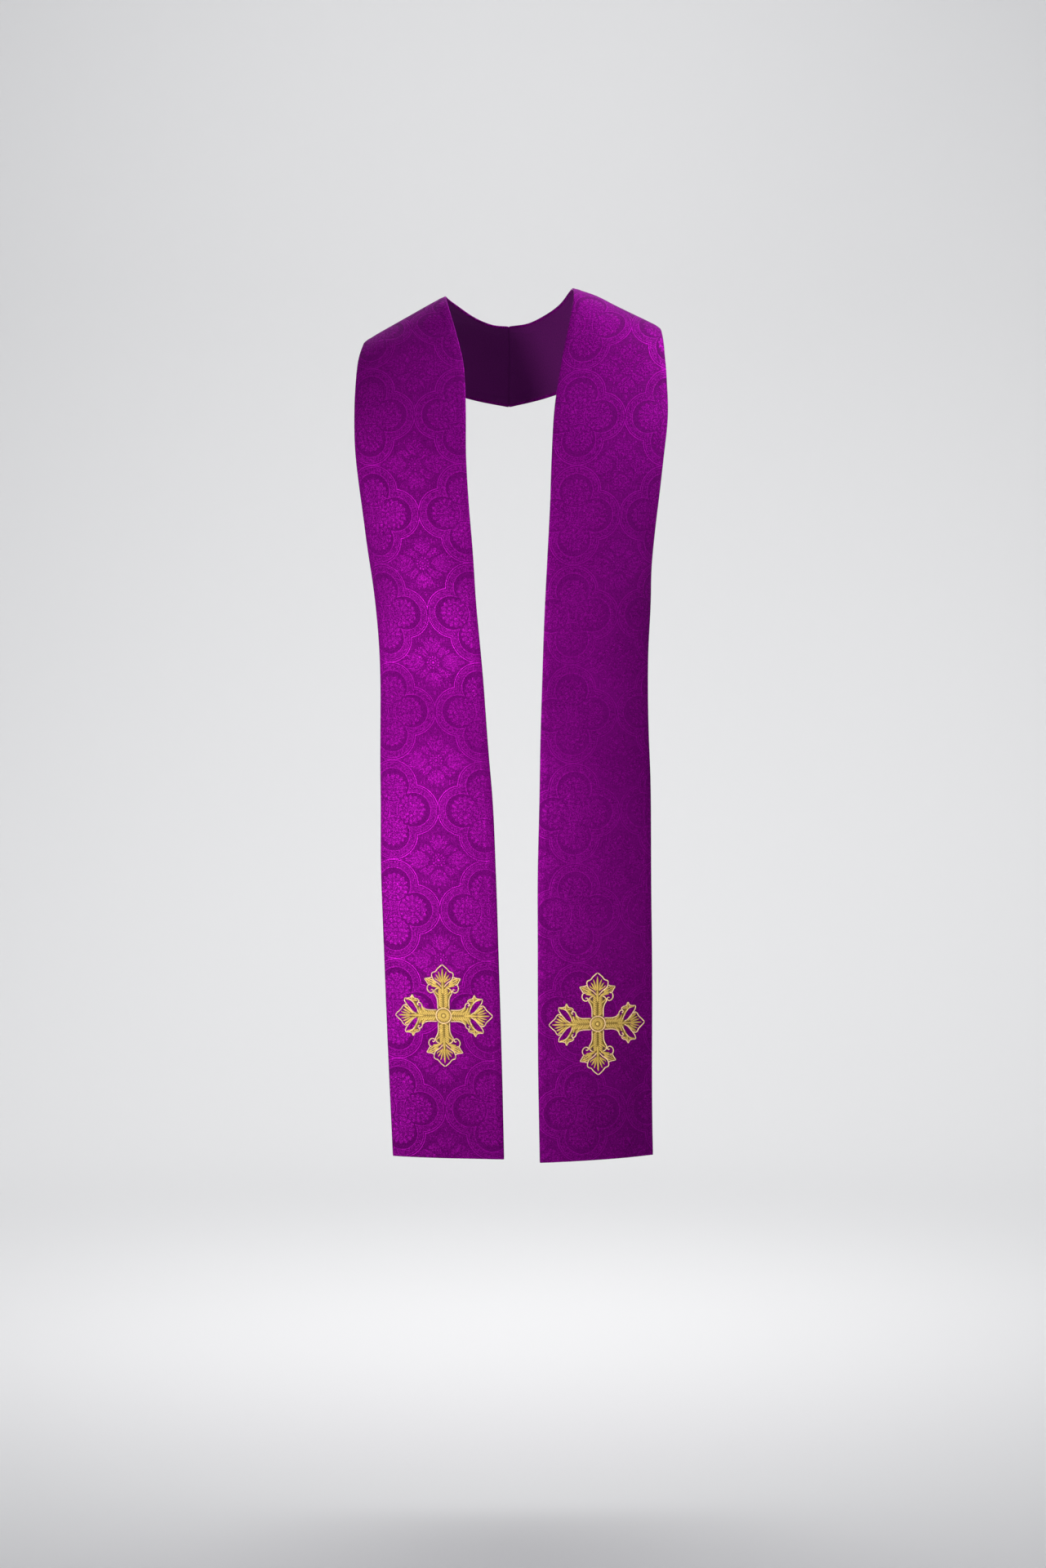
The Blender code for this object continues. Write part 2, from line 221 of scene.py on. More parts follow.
RIGHT_FRONT = [
    Front("below the collar bone", 55.5, -62, 187.5, -62),
    Front("upper chest", 53, -90, 189.5, -90),
    Front("chest", 52, -121, 190.5, -121),
    Front("breast", 51.5, -181, 188.5, -180),
    Front("lower breast", 48, -241, 181, -240),
    Front("ribs", 43, -301, 173, -300),
    Front("waist", 39, -361, 165, -360),
    Front("hip", 31, -450, 160, -449),
    Front("below the hip", 24, -540, 158, -539),
    Front("upper thigh", 19, -600, 157, -599),
    Front("thigh", 15, -690, 156, -689),
    Front("above the cross", 12, -780, 153, -779),
    Front("below the cross", 7.5, -930, 147, -928),
    Front("hem", 5, -1039, 142, -1036),
]
# Drop is measured down the cloth's middle from the chest, across from the inner edge (0) to the outer (1).
Fold = namedtuple("Fold", "drop across length breadth height slant")
LEFT_FOLDS = [
    Fold(235, 0.80, 70, 0.50, 5.0, 0.5),
    Fold(330, 0.35, 85, 0.60, -6.0, 0.0),
    Fold(470, 0.55, 90, 0.70, 4.0, 0.3),
    Fold(900, 0.95, 160, 0.25, -4.5, 0.0),
    Fold(850, 0.40, 120, 0.45, 2.5, -0.2),
]
RIGHT_FOLDS = [
    Fold(215, 0.35, 75, 0.55, 5.0, -0.4),
    Fold(315, 0.60, 80, 0.60, -6.0, 0.0),
    Fold(430, 0.25, 75, 0.45, 4.5, 0.5),
    Fold(560, 0.75, 120, 0.45, 3.0, 0.0),
    Fold(905, 0.20, 140, 0.40, -3.0, 0.0),
]


def smooth_curve(places, values):
    """A smooth function through points, which may be numbers or vectors, with places in rising order."""
    places, values = np.array(places), np.array(values)
    gaps = np.diff(places).reshape(-1, *[1] * (values.ndim - 1))
    slopes = np.diff(values, axis=0) / gaps
    before, after = gaps[:-1], gaps[1:]
    inner_slopes = (slopes[:-1] * after + slopes[1:] * before) / (before + after)
    tangents = np.concatenate([slopes[:1], inner_slopes, slopes[-1:]])

    def curve(place):
        index = np.clip(np.searchsorted(places, place, side="right") - 1, 0, len(gaps) - 1)
        gap = gaps[index]
        t = (place - places[index]).reshape(gap.shape) / gap
        return (
            values[index] * (1 + 2 * t) * (1 - t) ** 2
            + gap * tangents[index] * t * (1 - t) ** 2
            + values[index + 1] * t * t * (3 - 2 * t)
            + gap * tangents[index + 1] * t * t * (t - 1)
        )

    return curve


def unit(vectors):
    """Vectors one metre long, in the same directions."""
    return vectors / np.linalg.norm(vectors, axis=-1, keepdims=True)


class Figure:
    """One side of the general figure: 1 is the left side and -1 the right one."""

    def __init__(self, side):
        self.side = side
        rows = sorted(FIGURE, key=lambda row: row.z)
        heights = [row.z * MM for row in rows]
        width_column = "left_width" if side > 0 else "right_width"
        self.half_width, self.half_depth, self.centre_y = (
            smooth_curve(heights, [getattr(row, column) * MM for row in rows])
            for column in (width_column, "half_depth", "centre_y")
        )

    def point(self, angle, z):
        """The place on the surface at an angle round the neck, 0 in front, and a height."""
        sine, cosine = np.abs(np.sin(angle)), np.abs(np.cos(angle))
        x = self.side * self.half_width(z) * sine ** (2 / SQUARENESS)
        depth = self.half_depth(z) * cosine ** (2 / SQUARENESS)
        return np.stack([x, self.centre_y(z) - np.sign(np.cos(angle)) * depth, z], axis=-1)

    def front_angle(self, x, z):
        """The angle of the place in front that lies a distance from the middle line."""
        return math.asin((x / self.half_width(z)) ** (SQUARENESS / 2))

    def beyond(self, points):
        """0 on the surface, more outside it and less inside."""
        x, y, z = np.moveaxis(points, -1, 0)
        over = np.abs(x) / self.half_width(z)
        deep = np.abs(y - self.centre_y(z)) / self.half_depth(z)
        return over**SQUARENESS + deep**SQUARENESS - 1

    def onto(self, points, steps=8, reach=0.0005):
        """Move points straight out or in until they lie on the surface."""
        for _ in range(steps):
            slopes = [
                (self.beyond(points + reach * axis) - self.beyond(points - reach * axis)) / (2 * reach)
                for axis in np.eye(3)
            ]
            gradient = np.stack(slopes, axis=-1)
            share = self.beyond(points) / (gradient**2).sum(axis=-1)
            points = points - share[..., None] * gradient
        return points


class Half:
    """One half of the worn cloth: its wall's middle and the way out of it, on rows and columns."""

    def __init__(self, side, shoulder_rows, front_rows, folds):
        self.side = side
        figure = Figure(side)
        edges = [
            (math.radians(row.inner_round), row.inner_z * MM, math.radians(row.outer_round), row.outer_z * MM)
            for row in shoulder_rows
        ]
        for row in front_rows:
            inner_z, outer_z = row.inner_z * MM, row.outer_z * MM
            inner_angle = figure.front_angle(row.inner_x * MM, inner_z)
            outer_angle = figure.front_angle(row.outer_x * MM, outer_z)
            edges.append((inner_angle, inner_z, outer_angle, outer_z))
        edges = np.array(edges)
        inner, outer = figure.point(*edges.T[:2]), figure.point(*edges.T[2:])
        middles = figure.onto((inner + outer) / 2)
        steps = np.linalg.norm(np.diff(middles, axis=0), axis=-1)
        down = np.concatenate([[0.0], np.cumsum(steps)])
        self.length = down[-1]
        chest = down[[row.place for row in shoulder_rows + front_rows].index("chest")]

        self.down = np.linspace(0, self.length, round(self.length / ROW_STEP) + 1)
        even = np.linspace(0, 1, COLUMNS)
        self.across = even - EDGE_CROWDING * np.sin(2 * math.pi * even)
        inner_line, outer_line = smooth_curve(down, inner)(self.down), smooth_curve(down, outer)(self.down)
        bare = figure.onto(inner_line[:, None] + (outer_line - inner_line)[:, None] * self.across[:, None])
        self.width = self.row_widths(bare)

        height = np.zeros(bare.shape[:2])
        for fold in folds:
            along = (self.down - chest)[:, None] / MM - fold.drop
            along = along - fold.slant * fold.length * (self.across - fold.across)
            over = (self.across - fold.across) / fold.breadth
            height += fold.height * MM * np.exp(-2 * (along / fold.length) ** 2 - 2 * over**2)
        edge = np.minimum(self.across, 1 - self.across) * self.width[:, None]
        seam_share = np.clip(self.down / SEAM_REACH, 0, 1)[:, None]
        height -= ROLL_BACK * seam_share * np.exp(-edge / ROLL_REACH)
        self.middle = bare + self.outward(bare) * height[..., None]
        self.facing = self.outward(self.middle)
        self.edge = edge
        self.cut = self.flat_cut()

    def row_widths(self, points):
        """The width of the cloth along each row."""
        return np.linalg.norm(np.diff(points, axis=1), axis=-1).sum(axis=1)

    def outward(self, points):
        """The way out of the cloth's face at each point."""
        along, over = np.gradient(points, axis=0), np.gradient(points, axis=1)
        return unit(np.cross(along, over) * self.side)

    def flat_cut(self):
        """Where each point lies on the flat cloth, in metres from the hem's middle, by unrolling the rows."""
        steps = np.linalg.norm(np.diff(self.middle, axis=0), axis=-1)
        inner_step, outer_step, centre_step = steps[:, 0], steps[:, -1], steps[:, COLUMNS // 2]
        turns = (outer_step - inner_step) / self.width[1:]
        turn = np.concatenate([np.cumsum(turns[::-1])[::-1], [0.0]])
        middle_turn = (turn[1:] + turn[:-1]) / 2
        moves = np.stack([-np.sin(middle_turn), np.cos(middle_turn)], axis=-1) * centre_step[:, None]
        centres = np.concatenate([np.cumsum(moves[::-1], axis=0)[::-1], [[0.0, 0.0]]])
        out = (self.across - 0.5) * self.width[:, None]
        way = np.stack([np.cos(turn), np.sin(turn)], axis=-1)
        flat = centres[:, None] + out[..., None] * way[:, None]
        return flat * [self.side, 1]

    def look_up(self, table, down, across):
        """A table's values at any places on the cloth, read between its rows and columns."""
        last_row, last_column = len(self.down) - 1, COLUMNS - 1
        row = np.clip(down / self.length * last_row, 0, last_row - INSIDE_LAST)
        column = np.clip(np.interp(across, self.across, np.arange(COLUMNS)), 0, last_column - INSIDE_LAST)
        top, near = row.astype(int), column.astype(int)
        below, beside = (row - top)[..., None], (column - near)[..., None]
        return (
            table[top, near] * (1 - below) * (1 - beside)
            + table[top + 1, near] * below * (1 - beside)
            + table[top, near + 1] * (1 - below) * beside
            + table[top + 1, near + 1] * below * beside
        )

    def above(self, down, across, clear):
        """Places that stand clear of the middle of the cloth's wall, on its face's side."""
        outward = unit(self.look_up(self.facing, down, across))
        return self.look_up(self.middle, down, across) + outward * clear[..., None]


left = Half(1, LEFT_SHOULDER, LEFT_FRONT, LEFT_FOLDS)
right = Half(-1, RIGHT_SHOULDER, RIGHT_FRONT, RIGHT_FOLDS)

# The halves' brocade is a tone-on-tone repeat of four-lobed medallions, woven as bright floats on a darker
# ground. The repeat is drawn for a quarter of it, in millimetres, and mirrored both ways.
REPEAT_X, REPEAT_Y = 112.0, 122.0
LOBE_X, LOBE_Y, LOBE_RADIUS = 26.0, 30.0, 31.2
Ring = namedtuple("Ring", "radius width strength")
LOBE_RINGS = [Ring(30.6, 1.1, 1.0), Ring(28.3, 0.8, 0.85), Ring(21.2, 1.1, 0.7)]
ROPE_RADIUS, ROPE_HALF_WIDTH, ROPE_PITCH = 24.8, 3.0, 2.6
FLOWER_X, FLOWER_Y, FLOWER_RADIUS, FLOWER_PETALS = 22.5, 26.5, 17.0, 16
HEART_RADIUS, HEART_PETALS = 9.0, 8
BAND_HALF_WIDTH, BAND_SLOPE, BAND_REACH, FILLED_RADIUS = 9.0, 0.9, 17.0, 19.6
LINE_SOFTNESS = 0.3
STAR_RING, STAR_EYE, STAR_CORE = Ring(6.8, 2.6, 1.0), Ring(3.8, 0.9, 1.0), 1.8
STAR_BEADS, STAR_GROUND = 12, 0.16
GROUND = (0.05, 0.0006, 0.056, 1.0)
FLOAT = (0.30, 0.0045, 0.29, 1.0)
BACKING_FLOAT = (0.2, 0.006, 0.21, 1.0)
SHEEN_TINT = (0.85, 0.08, 0.85, 1.0)
WEFT_PITCH, WARP_PITCH, TWILL_PITCH = 0.42, 0.5, 0.9
Leaf = namedtuple("Leaf", "root_x root_y tip_x tip_y half_width")
STAR_LEAVES = [
    Leaf(0, 10, 0, 32, 3.8),
    Leaf(1.5, 12, 10.5, 26, 3.2),
    Leaf(4, 19, 7.5, 32, 2.0),
    Leaf(10, 0, 42, 0, 4.0),
    Leaf(12, 1.5, 29, 10.5, 3.6),
    Leaf(22, 3.5, 37, 8.5, 2.2),
    Leaf(6, 6, 17.5, 19, 3.6),
    Leaf(14, 10, 23, 15.5, 2.2),
    Leaf(12.5, 23.5, 12.5, 30.5, 1.1),
    Leaf(16, 22.5, 16, 31, 1.1),
    Leaf(19.5, 23, 19.5, 30, 1.1),
    Leaf(0, 33.5, 0, 41, 1.6),
    Leaf(44, 0, 52, 0, 1.4),
]


class Yarn:
    """A value in a material: sums and products of yarns add Math nodes to its tree."""

    def __init__(self, tree, socket=None):
        self.tree, self.socket = tree, socket

    def node(self, kind, settings, inputs, output=0):
        """A new node: its type, its settings, and the values or yarns of its sockets."""
        node = self.tree.nodes.new("ShaderNode" + kind)
        for name, value in settings.items():
            setattr(node, name, value)
        for name, value in inputs.items():
            if isinstance(value, Yarn):
                self.tree.links.new(value.socket, node.inputs[name])
            else:
                node.inputs[name].default_value = value
        return Yarn(self.tree, node.outputs[output])

    def math(self, operation, *others):
        """A Math node of this value and any others."""
        return self.node("Math", {"operation": operation}, dict(enumerate((self, *others))))

    def __add__(self, other):
        return self.math("ADD", other)

    def __sub__(self, other):
        return self.math("SUBTRACT", other)

    def __mul__(self, other):
        return self.math("MULTIPLY", other)

    __radd__, __rmul__ = __add__, __mul__

    def __rsub__(self, other):
        return self.node("Math", {"operation": "SUBTRACT"}, {0: other, 1: self})

    def __abs__(self):
        return self.math("ABSOLUTE")

    def most(self, other):
        return self.math("MAXIMUM", other)

    def least(self, other):
        return self.math("MINIMUM", other)

    def wave(self, pitch):
        """A sine from -1 to 1 that repeats at a pitch."""
        return self.math("MULTIPLY", 2 * math.pi / pitch).math("SINE")

    def under(self, limit, soft):
        """1 where this is well under a limit and 0 well over it, with a soft step between."""
        ends = {"From Min": limit - soft, "From Max": limit + soft, "To Min": 1.0, "To Max": 0.0}
        return self.node("MapRange", {"interpolation_type": "SMOOTHSTEP"}, {"Value": self, **ends})

    def blend(self, start, end):
        """A colour from start to end, by this value."""
        return self.node("Mix", {"data_type": "RGBA"}, {0: self, 6: start, 7: end}, output=2)

    def parts(self):
        """The first two numbers of a vector or a colour."""
        first = self.node("SeparateXYZ", {}, {0: self})
        return first, Yarn(self.tree, first.socket.node.outputs[1])

    def relief(self, strength):
        """A surface normal that is raised by this value, in millimetres."""
        return self.node("Bump", {}, {"Strength": strength, "Distance": MM, "Height": self})


def length_of(x, y):
    """How far a place is from the middle."""
    return (x * x + y * y).math("SQRT")


def line_at(distance, ring):
    """A bright line round a middle, at the ring's radius."""
    return abs(distance - ring.radius).under(ring.width / 2, LINE_SOFTNESS) * ring.strength


def woven_flower(x, y, radius, petals):
    """A round flower seen from above: scalloped outer petals, an inner ring of petals and a core."""
    inner_radius, core_radius = 0.6 * radius, 0.24 * radius
    reach, round_it = length_of(x, y), y.math("ARCTAN2", x)
    outer_wave, inner_wave = ((round_it * count).math("COSINE") for count in (petals, petals * 0.5))
    body = (reach - outer_wave * (0.06 * radius)).under(radius, 0.5)
    outer_petals = (outer_wave * 0.5 + 0.5).math("POWER", 0.6)
    inner_petals = (inner_wave * 0.5 + 0.5).math("POWER", 0.6)
    inner_zone = (reach - inner_wave * (0.05 * radius)).under(0.58 * radius, 0.4)
    petals_lit = outer_petals * (1 - inner_zone) + inner_petals * inner_zone
    rings = line_at(reach, Ring(inner_radius, 0.9, 1.0)).most(line_at(reach, Ring(core_radius, 0.8, 1.0)))
    return body * (petals_lit * 0.4 + 0.3) * (1 - rings * 0.6)


def woven_leaf(x, y, leaf):
    """A pointed leaf with a dark vein, from its root to its tip."""
    run = Vector((leaf.tip_x - leaf.root_x, leaf.tip_y - leaf.root_y))
    way = run.normalized()
    from_x, from_y = x - leaf.root_x, y - leaf.root_y
    share = (from_x * way.x + from_y * way.y) * (1 / run.length)
    out = abs(from_y * way.x - from_x * way.y)
    inside = (share * (1 - share)).most(0.0).math("POWER", 0.6) * (2.3 * leaf.half_width)
    body = (out - inside).under(0.0, 0.35)
    vein = out.under(0.35, 0.25)
    return body * (0.6 - vein * 0.25)


def woven_medallion(x, y):
    """How much floats inside the lobes, the lines alone, and 1 inside the lobes and 0 outside."""
    lobe = length_of(x - LOBE_X, y).least(length_of(x, y - LOBE_Y))
    lines = line_at(lobe, LOBE_RINGS[0])
    for ring in LOBE_RINGS[1:]:
        lines = lines.most(line_at(lobe, ring))
    twist = (x + y).wave(ROPE_PITCH) * (x - y).wave(ROPE_PITCH)
    rope = abs(lobe - ROPE_RADIUS).under(ROPE_HALF_WIDTH, LINE_SOFTNESS) * (twist * 0.12 + 0.42)
    side_flower = woven_flower(x - FLOWER_X, y, FLOWER_RADIUS, FLOWER_PETALS)
    flower = side_flower.most(woven_flower(x, y - FLOWER_Y, FLOWER_RADIUS, FLOWER_PETALS))
    band = abs(x - y * BAND_SLOPE).under(BAND_HALF_WIDTH, 2.0) * 0.35 * lobe.under(BAND_REACH, 1.0)
    heart = flower.most(woven_flower(x, y, HEART_RADIUS, HEART_PETALS)).most(band)
    medallion = lines.most(rope).most(heart * lobe.under(FILLED_RADIUS, LINE_SOFTNESS))
    return medallion, lines, lobe.under(LOBE_RADIUS, 0.2)


def woven_star(x, y):
    """How much floats between the medallions: a beaded ring with an eye, and leaves all round it."""
    reach = length_of(x, y)
    beads = (y.math("ARCTAN2", x) * STAR_BEADS).math("COSINE") * 0.5 + 0.5
    ring = line_at(reach, STAR_RING) * beads
    star = ring.most(line_at(reach, STAR_EYE)).most(reach.under(STAR_CORE, 0.4))
    for leaf in STAR_LEAVES:
        star = star.most(woven_leaf(x, y, leaf))
    return star.most(STAR_GROUND)


def brocade_pattern(across, along):
    """How much of the surface floats, from 0 in the hollows to 1 on the brightest lines, and the lines."""
    x, y = across.math("PINGPONG", REPEAT_X / 2), along.math("PINGPONG", REPEAT_Y / 2)
    medallion, lines, inside = woven_medallion(x, y)
    star = woven_star(REPEAT_X / 2 - x, REPEAT_Y / 2 - y)
    return medallion * inside + star * (1 - inside), lines * inside


class Finish:
    """A material in the making: its shader, what varies over the surface, and what doesn't."""

    def __init__(self, name, uv_map):
        self.material = bpy.data.materials.new(name)
        self.material.use_nodes = True
        self.tree = self.material.node_tree
        self.shader = self.tree.nodes["Principled BSDF"]
        self.place = Yarn(self.tree).node("UVMap", {"uv_map": uv_map}, {})

    def feed(self, name, value):
        """Set one of the shader's sockets to a value or to a yarn."""
        if isinstance(value, Yarn):
            self.tree.links.new(value.socket, self.shader.inputs[name])
        else:
            self.shader.inputs[name].default_value = value

    def millimetres(self):
        """The place on the surface in millimetres."""
        return self.place.node("VectorMath", {"operation": "SCALE"}, {0: self.place, "Scale": 1 / MM})


def brocade_cloth():
    """The face: floats are paler, smoother and more metallic than the ground, so they catch the light."""
    finish = Finish("purple_brocade_cloth", "cut")
    place = finish.millimetres()
    across, along = place.parts()
    pattern, lines = brocade_pattern(across, along)
    grain = place.node("TexNoise", {}, {"Vector": place, "Scale": 0.6, "Detail": 2.0, "Roughness": 0.65})
    cloudy = place.node("TexNoise", {}, {"Vector": place, "Scale": 0.02, "Detail": 1.0})
    floats = place.node("TexVoronoi", {}, {"Vector": place, "Scale": 1.0, "Randomness": 1.0}, output=1)
    # Bright specks in the floats, put into the base colour: partly the yarns' uneven tone, partly painted
    # glints.
    speck = floats.parts()[0].math("POWER", 2.0)
    speckled = (pattern - 0.1).most(0.0).least(0.4) * 2.5
    specks_and_glints = (speck - 0.3) * (speckled * 0.6 + 0.2)
    tone = pattern * 0.34 + lines * 0.3 + 0.26 + (grain - 0.5) * 0.7 + specks_and_glints + (cloudy - 0.5) * 0.15
    weave = across.wave(WEFT_PITCH) * along.wave(WARP_PITCH)
    raised = pattern * 0.16 + grain * 0.10 + speck * speckled * 0.08 + weave * 0.02
    finish.feed("Base Color", tone.most(0.0).least(1.0).blend(GROUND, FLOAT))
    finish.feed("Roughness", 0.66 - pattern * 0.22)
    finish.feed("Metallic", (pattern * 0.7 + 0.06 + specks_and_glints * 0.3).most(0.0))
    finish.feed("Normal", raised.relief(0.8))
    finish.feed("Specular IOR Level", 0.06)
    finish.feed("Specular Tint", SHEEN_TINT)
    return finish.material


def backing_cloth():
    """The cloth's plain inner side: a fine twill."""
    finish = Finish("purple_backing_cloth", "cut")
    place = finish.millimetres()
    across, along = place.parts()
    grain = place.node("TexNoise", {}, {"Vector": place, "Scale": 0.8, "Detail": 2.0})
    twill = (across + along).wave(TWILL_PITCH)
    finish.feed("Base Color", (grain * 0.8 + twill * 0.08).blend(GROUND, BACKING_FLOAT))
    finish.feed("Normal", (grain * 0.08 + twill * 0.03).relief(0.6))
    finish.feed("Roughness", 0.7)
    finish.feed("Specular IOR Level", 0.15)
    return finish.material


BROCADE = brocade_cloth()
BACKING = backing_cloth()


def round_faces(rows, columns):
    """The four-sided faces of a skin that is wound round through its rows of points."""
    corner = np.arange(rows - 1)[:, None] * columns + np.arange(columns)
    beside = np.arange(rows - 1)[:, None] * columns + (np.arange(columns) + 1) % columns
    return np.stack([corner, beside, beside + columns, corner + columns], axis=-1).reshape(-1, 4)


def make_piece(name, points, faces, materials, worn, uv_map, flat, join):
    """A smooth closed piece, where worn gives each face's material and flat each point's place in the map."""
    mesh = bpy.data.meshes.new(name)
    mesh.from_pydata(points.reshape(-1, 3).tolist(), [], faces)
    for material in materials:
        mesh.materials.append(material)
    mesh.polygons.foreach_set("material_index", np.array(worn, np.int32))
    layer = mesh.uv_layers.new(name=uv_map)
    corners = np.zeros(len(mesh.loops), np.int32)
    mesh.loops.foreach_get("vertex_index", corners)
    layer.data.foreach_set("uv", flat.reshape(-1, 2)[corners].ravel().astype(np.float32))
    cage = bmesh.new()
    cage.from_mesh(mesh)
    bmesh.ops.remove_doubles(cage, verts=cage.verts, dist=join)
    bmesh.ops.recalc_face_normals(cage, faces=cage.faces)
    cage.to_mesh(mesh)
    cage.free()
    mesh.shade_smooth()
    piece = bpy.data.objects.new(name, mesh)
    bpy.context.scene.collection.objects.link(piece)
    return piece


def end_rows(half):
    """How far down each row lies, and its share of the wall's thickness, with both ends rounded off."""
    depth = WALL / 2
    ends = [
        (SEAM_GAP / 2 + depth - depth * math.sin(turn), math.cos(turn))
        for turn in np.linspace(math.pi / 2, 0, END_STEPS, endpoint=False)
    ]
    rows = ends + [(place, 1.0) for place in half.down[1:-1]]
    rows += [(half.length - place + SEAM_GAP / 2, thick) for place, thick in ends[::-1]]
    return np.array(rows).T


def build_half(name, half, medallion):
    """A closed wall: the face, the fold round one edge, the back, and the fold round the other."""
    depth = WALL / 2
    place_down, thick = end_rows(half)
    inset = depth / half.width[:, None]
    shares = inset + (1 - 2 * inset) * half.across
    across = [np.interp(place_down, half.down, shares[:, column]) for column in range(COLUMNS)]
    across = np.stack(across, axis=-1)
    down = np.repeat(place_down[:, None], COLUMNS, axis=1)
    middle = half.look_up(half.middle, down, across)
    facing = unit(half.look_up(half.facing, down, across))
    cut = half.look_up(half.cut, down, across)
    edge = half.look_up(half.edge[..., None], down, across)[..., 0]
    over = unit(np.gradient(middle, axis=1))

    lift = depth * thick[:, None]
    turned_in = 0.5 - 0.5 * np.tanh((edge - TURNED_UNDER) / ALLOWANCE_SOFTNESS)
    ridge = ALLOWANCE_STEP * thick[:, None] * (turned_in - 1)
    front = middle + facing * (lift + ridge)[..., None]
    back = middle - facing * (lift + ridge)[..., None]

    def edge_fold(column, way):
        loops, cuts = [], []
        for step in range(1, FOLD_STEPS):
            turn = math.pi * step / FOLD_STEPS
            out, up = way * math.sin(turn), way * math.cos(turn)
            fold = over[:, column] * out + facing[:, column] * up
            loops.append((middle[:, column] + fold * lift)[:, None])
            cuts.append((cut[:, column] + [half.side * way * depth * turn / 2, 0])[:, None])
        return loops, cuts

    outer_loops, outer_cuts = edge_fold(-1, 1)
    inner_loops, inner_cuts = edge_fold(0, -1)
    points = np.concatenate([front, *outer_loops, back[:, ::-1], *inner_loops], axis=1)
    cuts = np.concatenate([cut, *outer_cuts, cut[:, ::-1], *inner_cuts], axis=1)
    rows, count = points.shape[:2]
    from_edge = np.zeros(count)
    back_start = COLUMNS + FOLD_STEPS - 1
    from_edge[back_start:back_start + COLUMNS] = half.edge[0, ::-1]
    wears_backing = np.tile(from_edge > BACKING_INSET, rows - 1)
    faces = round_faces(rows, count).tolist()
    flat = cuts - medallion
    return make_piece(name, points, faces, [BROCADE, BACKING], wears_backing, "cut", flat, CLOTH_JOIN)


for node, half, medallion in (("left_half", left, LEFT_MEDALLION), ("right_half", right, RIGHT_MEDALLION)):
    cloth = build_half(node + "_cloth", half, medallion)
    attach(cloth, "root")
    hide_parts(node)
    area = float((half.width[:-1] * np.diff(half.down)).sum())
    flat_low, flat_high = half.cut.min(axis=(0, 1)), half.cut.max(axis=(0, 1))
    tuple(float(size) for size in flat_high - flat_low)

# The seam at the nape: both halves' ends are folded in and slip-stitched together with purple thread. A plain
# twisted thread lies in the groove between them, from the neck edge down to the lower edge.
THREAD_RADIUS, THREAD_STEP = 0.3 * MM, 0.5 * MM
THREAD_TURNS, THREAD_TWIST, THREAD_BULGE, THREAD_END = 8, 1.6, 0.15, 0.2
THREAD_START_SHARE, THREAD_END_SHARE = 0.012, 0.988


def build_seam_thread():
    """A closed thread with a twist, along the middle of the groove."""
    count = round(left.width[0] / THREAD_STEP)
    share = np.linspace(THREAD_START_SHARE, THREAD_END_SHARE, count)
    line = left.look_up(left.middle, np.zeros(count), share) * [0, 1, 1]
    way = unit(np.gradient(line, axis=0))
    aside = np.cross(way, [1.0, 0, 0])
    turns = np.linspace(0, 2 * math.pi, THREAD_TURNS, endpoint=False)
    bulge = 1 + THREAD_BULGE * np.sin(np.arange(count)[:, None] * THREAD_TWIST + 2 * turns)
    bulge[[0, -1]] = THREAD_END
    spread = np.cos(turns)[:, None] * [1.0, 0, 0] + np.sin(turns)[:, None] * aside[:, None]
    points = line[:, None] + THREAD_RADIUS * bulge[..., None] * spread
    last = (count - 1) * THREAD_TURNS
    ends = [list(range(THREAD_TURNS))[::-1], list(range(last, last + THREAD_TURNS))]
    faces = round_faces(count, THREAD_TURNS).tolist() + ends
    flat = points[..., [0, 2]]
    worn = [0] * len(faces)
    return make_piece("nape_seam_thread", points, faces, [BACKING], worn, "cut", flat, STITCH_JOIN)


seam_thread = build_seam_thread()
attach(seam_thread, "root")

# The crosses: padded gold embroidery, worked on the brocade itself. Each arm has a stem of stitched leaves,
# scrolls and side leaves, and an arched tip round a palmette, all edged with a paler satin cord.
CROSS_UP = {"left": 167.0 * MM, "right": 175.0 * MM}
CROSS_IN = {"left": 73.5 * MM, "right": 69.5 * MM}
CROSS_SINK = 0.1 * MM
# Each thread blends between two colours along its stitches: the second of each pair is painted shade for the
# grooves between stitches, the first the lit colour of their crests.
PALE_GOLD, PALE_GOLD_IN_PAINTED_SHADE = (1.0, 0.80, 0.50, 1.0), (1.0, 0.66, 0.34, 1.0)
GOLD, GOLD_IN_PAINTED_SHADE = (1.0, 0.72, 0.18, 1.0), (0.30, 0.17, 0.03, 1.0)
# The ground stitch's gold is darker partly as painted shade for the gaps between the raised strokes.
GAP_SHADED_GOLD, GAP_SHADED_GOLD_IN_PAINTED_SHADE = (0.38, 0.24, 0.04, 1.0), (0.10, 0.055, 0.009, 1.0)
PURPLE_THREAD, PURPLE_THREAD_IN_PAINTED_SHADE = (0.12, 0.004, 0.11, 1.0), (0.05, 0.001, 0.05, 1.0)


def stitched_thread(name, dark, light, pitch):
    """Metallic thread laid side by side across a stroke, one stitch to each pitch along it, its colour painted
    from shade in the grooves to light on the crests.
    """
    finish = Finish(name, "stitch")
    along = finish.place.parts()[0] * (1 / MM)
    thread = along.wave(pitch) * 0.5 + 0.5
    uneven = along.node("TexNoise", {}, {"Vector": finish.place, "Scale": 900.0, "Detail": 2.0})
    # Painted shade in the grooves and painted light on the crests: each stitch blends from dark to light.
    finish.feed("Base Color", (thread * 0.5 + uneven * 0.7 - 0.1).blend(dark, light))
    finish.feed("Roughness", 0.5 - thread * 0.16)
    finish.feed("Normal", (thread * 0.10 + uneven * 0.08).relief(0.8))
    finish.feed("Metallic", 0.55)
    return finish.material


